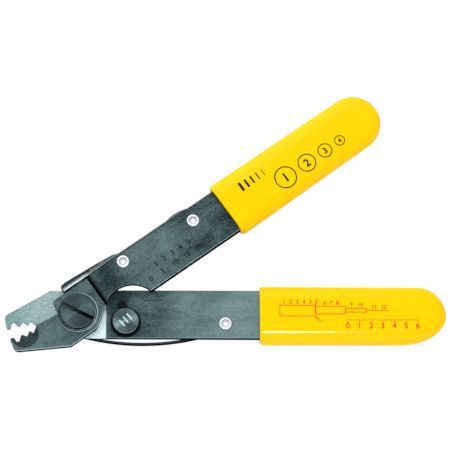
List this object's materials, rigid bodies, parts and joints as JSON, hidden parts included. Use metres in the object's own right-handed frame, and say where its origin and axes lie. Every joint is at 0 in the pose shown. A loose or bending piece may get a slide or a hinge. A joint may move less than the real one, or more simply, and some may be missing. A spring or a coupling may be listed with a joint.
{
  "type": "fibre stripper",
  "caption": "Hand tool with notched crossing blades on a slotted pivot screw, a hairpin return spring, a set closing stop and dipped grips, for stripping fibre coatings.",
  "frame": {"origin": "pivot axis, on the plane that the tool lies on", "axes": "+X along the lower handle towards its grip, +Y towards the upper handle, +Z out of the tool's front, along the pivot"},
  "size_m": [0.1513, 0.0914, 0.0107],
  "materials": {
    "oxide_steel": "blue-grey oxide on ground steel, fine grain",
    "screw_steel": "turned steel, dark oxide",
    "plain_steel": "zinc plated",
    "spring_steel": "blued spring steel",
    "black_steel": "black oxide",
    "turned_steel": "turned face with rings",
    "rivet_metal": "bright rolled rivet",
    "grip_vinyl": "dipped vinyl, glossy"
  },
  "bodies": {
    "lower_arm": {"lower_arm": "oxide_steel", "lower_grip": "grip_vinyl", "pivot_screw": "screw_steel", "pivot_nut": "plain_steel", "lock_washer": "plain_steel", "stop_cam": "black_steel", "stop_knob": "turned_steel", "stop_stud": "plain_steel", "stud_washer": "plain_steel", "return_spring": "spring_steel", "spring_rivet": "rivet_metal"},
    "upper_arm": {"upper_arm": "oxide_steel", "upper_grip": "grip_vinyl", "stop_rail": "oxide_steel", "front_rivet": "rivet_metal", "rear_rivet": "rivet_metal"}
  },
  "joints": [
    {"name": "arm_pivot", "type": "hinge", "parent": "lower_arm", "child": "upper_arm", "pos_m": [0, 0, 0.005], "axis": [0, 0, 1], "range_deg": [-15, 0], "stiffness_Nm_per_rad": 1, "springref_deg": 20.05, "deforming": ["return_spring"]}
  ]
}
